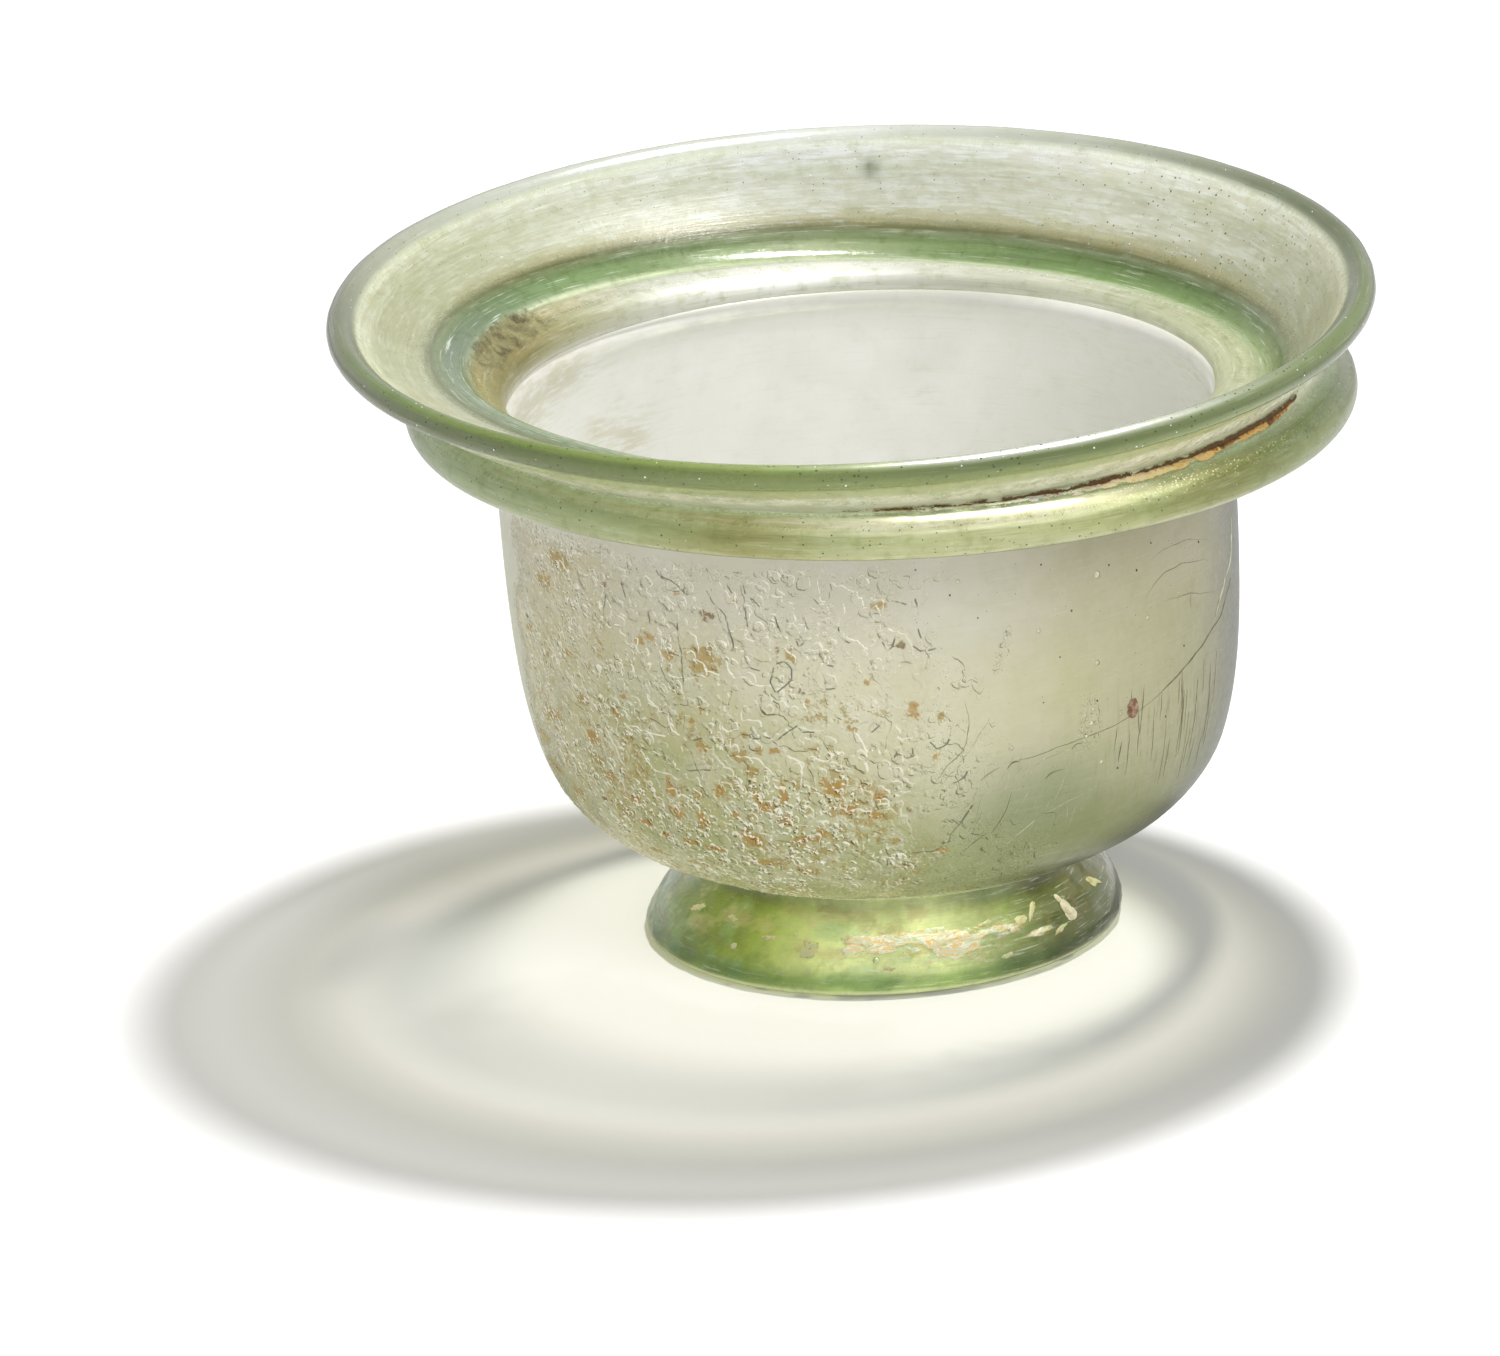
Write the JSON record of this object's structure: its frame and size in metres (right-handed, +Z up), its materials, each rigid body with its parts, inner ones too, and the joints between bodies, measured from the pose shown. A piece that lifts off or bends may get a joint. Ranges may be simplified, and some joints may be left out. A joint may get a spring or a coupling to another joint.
{
  "type": "glass bowl",
  "caption": "Free-blown ancient green glass bowl with a wide outsplayed rim over a folded collar, on a splayed foot ring, with weathering and burial soil; holds food or drink.",
  "frame": {"origin": "centre of the bounding box at the plane that the foot ring rests on", "axes": "+Z up along the bowl's axis; -Y towards the pictured front, with the flaking skin on the wall; +X to the right of that view"},
  "size_m": [0.105, 0.105, 0.0682],
  "materials": {
    "weathered_glass": "pale green glass under a hazy, faintly iridescent weathering film, satin",
    "foot_glass": "thick saturated yellow-green glass, glossy with pearly iridescent patches",
    "scar_glass": "broken green glass, glossy conchoidal facets",
    "wall_crust": "cracked, flaking beige silica skin with orange-brown staining, satin",
    "pearly_skin": "cream and iridescent flakes of weathering skin, pearly",
    "groove_earth": "orange-brown compacted burial soil, matte and crumbly",
    "throat_earth": "thin olive-brown burial soil, matte",
    "nodule_mineral": "red-brown mineral nodule, matte"
  },
  "bodies": {
    "root": {"vessel": "weathered_glass", "foot_ring": "foot_glass", "pontil_scar": "scar_glass", "groove_soil": "groove_earth", "throat_soil": "throat_earth", "wall_skin": "wall_crust", "foot_skin": "pearly_skin", "wall_nodule": "nodule_mineral"}
  },
  "joints": []
}
